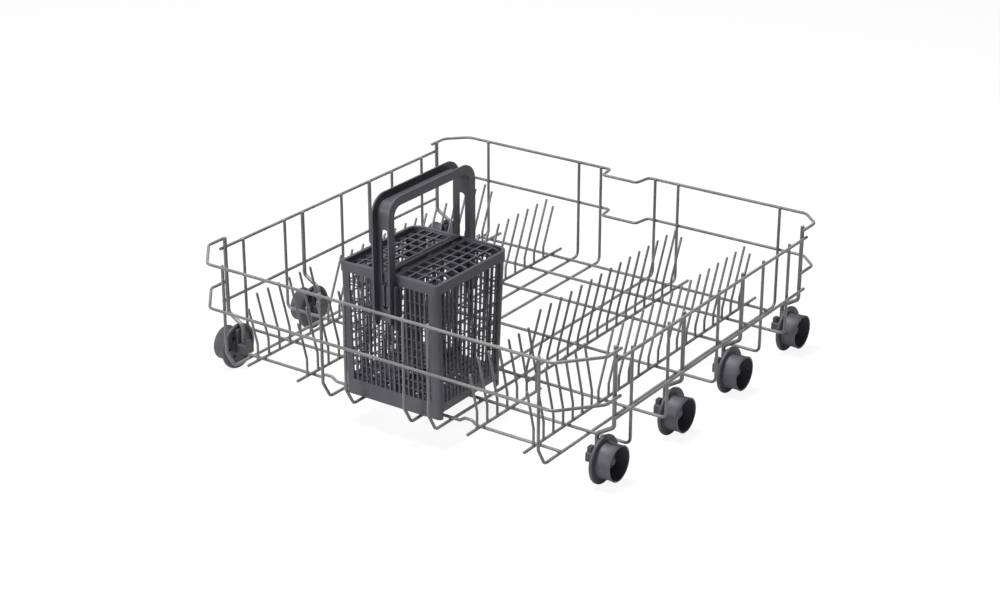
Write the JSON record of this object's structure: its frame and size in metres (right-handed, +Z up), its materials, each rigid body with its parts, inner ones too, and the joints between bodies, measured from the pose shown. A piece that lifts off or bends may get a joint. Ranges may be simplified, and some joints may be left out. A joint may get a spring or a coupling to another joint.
{
  "type": "dishwasher lower rack",
  "caption": "Coated wire lower rack of a dishwasher, on flanged plastic wheels, with plate tines and a lidded cutlery basket that has an arch handle.",
  "frame": {"origin": "on the floor that the wheels roll on, under the middle of the rack", "axes": "+X to the rack's right seen from the front, +Y from the front to the back, +Z up"},
  "size_m": [0.5318, 0.5152, 0.2756],
  "materials": {
    "coated_wire": "satin",
    "basket_plastic": "matte",
    "wheel_plastic": "matte",
    "holder_plastic": "matte"
  },
  "bodies": {
    "rack": {"back_rim_lower": "coated_wire", "back_rim_upper": "coated_wire", "back_tines_inner_left": "coated_wire", "back_tines_inner_right": "coated_wire", "back_tines_outer_left": "coated_wire", "back_tines_outer_right": "coated_wire", "cross_wire_1": "coated_wire", "cross_wire_2": "coated_wire", "cross_wire_3": "coated_wire", "cross_wire_4": "coated_wire", "cross_wire_5": "coated_wire", "front_cross_wire": "coated_wire", "front_rim_lower": "coated_wire", "front_rim_upper": "coated_wire", "front_tines_inner_left": "coated_wire", "front_tines_inner_right": "coated_wire", "front_tines_outer_left": "coated_wire", "front_tines_outer_right": "coated_wire", "long_wire_centre_left": "coated_wire", "long_wire_centre_right": "coated_wire", "long_wire_inner_left": "coated_wire", "long_wire_inner_right": "coated_wire", "long_wire_outer_left": "coated_wire", "long_wire_outer_right": "coated_wire", "rear_cross_wire": "coated_wire", "side_wire_lower_left": "coated_wire", "side_wire_lower_right": "coated_wire", "side_wire_upper_left": "coated_wire", "side_wire_upper_right": "coated_wire", "tine_rod_back_left": "coated_wire", "tine_rod_back_right": "coated_wire", "tine_rod_front_left": "coated_wire", "tine_rod_front_right": "coated_wire", "tine_rod_outer_left": "coated_wire", "tine_rod_outer_right": "coated_wire", "wheel_brackets_left": "coated_wire", "wheel_brackets_right": "coated_wire", "axle_holders_left": "holder_plastic", "axle_holders_right": "holder_plastic"},
    "cutlery_basket": {"basket_floor": "basket_plastic", "basket_front_wall": "basket_plastic", "basket_back_wall": "basket_plastic", "basket_left_wall": "basket_plastic", "basket_right_wall": "basket_plastic", "basket_corner_posts": "basket_plastic", "basket_rim": "basket_plastic", "basket_divider": "basket_plastic", "handle_guides": "basket_plastic", "lid_hinge_pins": "basket_plastic"},
    "lid_left": {"lid_left": "basket_plastic"},
    "lid_right": {"lid_right": "basket_plastic"},
    "handle": {"basket_handle": "basket_plastic"},
    "wheel_1_left": {"wheel_1_left": "wheel_plastic"},
    "wheel_1_right": {"wheel_1_right": "wheel_plastic"},
    "wheel_2_left": {"wheel_2_left": "wheel_plastic"},
    "wheel_2_right": {"wheel_2_right": "wheel_plastic"},
    "wheel_3_left": {"wheel_3_left": "wheel_plastic"},
    "wheel_3_right": {"wheel_3_right": "wheel_plastic"},
    "wheel_4_left": {"wheel_4_left": "wheel_plastic"},
    "wheel_4_right": {"wheel_4_right": "wheel_plastic"}
  },
  "joints": [
    {"name": "wheel_1_left_spin", "type": "hinge", "parent": "rack", "child": "wheel_1_left", "pos_m": [-0.25535, -0.19077, 0.0267], "axis": [1, 0, 0], "continuous": true},
    {"name": "wheel_1_right_spin", "type": "hinge", "parent": "rack", "child": "wheel_1_right", "pos_m": [0.25535, -0.19077, 0.0267], "axis": [1, 0, 0], "continuous": true},
    {"name": "wheel_2_left_spin", "type": "hinge", "parent": "rack", "child": "wheel_2_left", "pos_m": [-0.25535, -0.05515, 0.0267], "axis": [1, 0, 0], "continuous": true},
    {"name": "wheel_2_right_spin", "type": "hinge", "parent": "rack", "child": "wheel_2_right", "pos_m": [0.25535, -0.05515, 0.0267], "axis": [1, 0, 0], "continuous": true},
    {"name": "wheel_3_left_spin", "type": "hinge", "parent": "rack", "child": "wheel_3_left", "pos_m": [-0.25535, 0.07216, 0.0267], "axis": [1, 0, 0], "continuous": true},
    {"name": "wheel_3_right_spin", "type": "hinge", "parent": "rack", "child": "wheel_3_right", "pos_m": [0.25535, 0.07216, 0.0267], "axis": [1, 0, 0], "continuous": true},
    {"name": "wheel_4_left_spin", "type": "hinge", "parent": "rack", "child": "wheel_4_left", "pos_m": [-0.25535, 0.21073, 0.0267], "axis": [1, 0, 0], "continuous": true},
    {"name": "wheel_4_right_spin", "type": "hinge", "parent": "rack", "child": "wheel_4_right", "pos_m": [0.25535, 0.21073, 0.0267], "axis": [1, 0, 0], "continuous": true},
    {"name": "basket_lift", "type": "slide", "parent": "rack", "child": "cutlery_basket", "axis": [0, 0, 1], "range_m": [0, 0.25]},
    {"name": "handle_slide", "type": "slide", "parent": "cutlery_basket", "child": "handle", "axis": [0, 0, 1], "range_m": [-0.058, 0]},
    {"name": "lid_left_hinge", "type": "hinge", "parent": "cutlery_basket", "child": "lid_left", "pos_m": [0.001, -0.17, 0.1884], "axis": [0, 1, 0], "range_deg": [0, 88]},
    {"name": "lid_right_hinge", "type": "hinge", "parent": "cutlery_basket", "child": "lid_right", "pos_m": [0.013, -0.17, 0.1884], "axis": [0, -1, 0], "range_deg": [0, 88]}
  ]
}
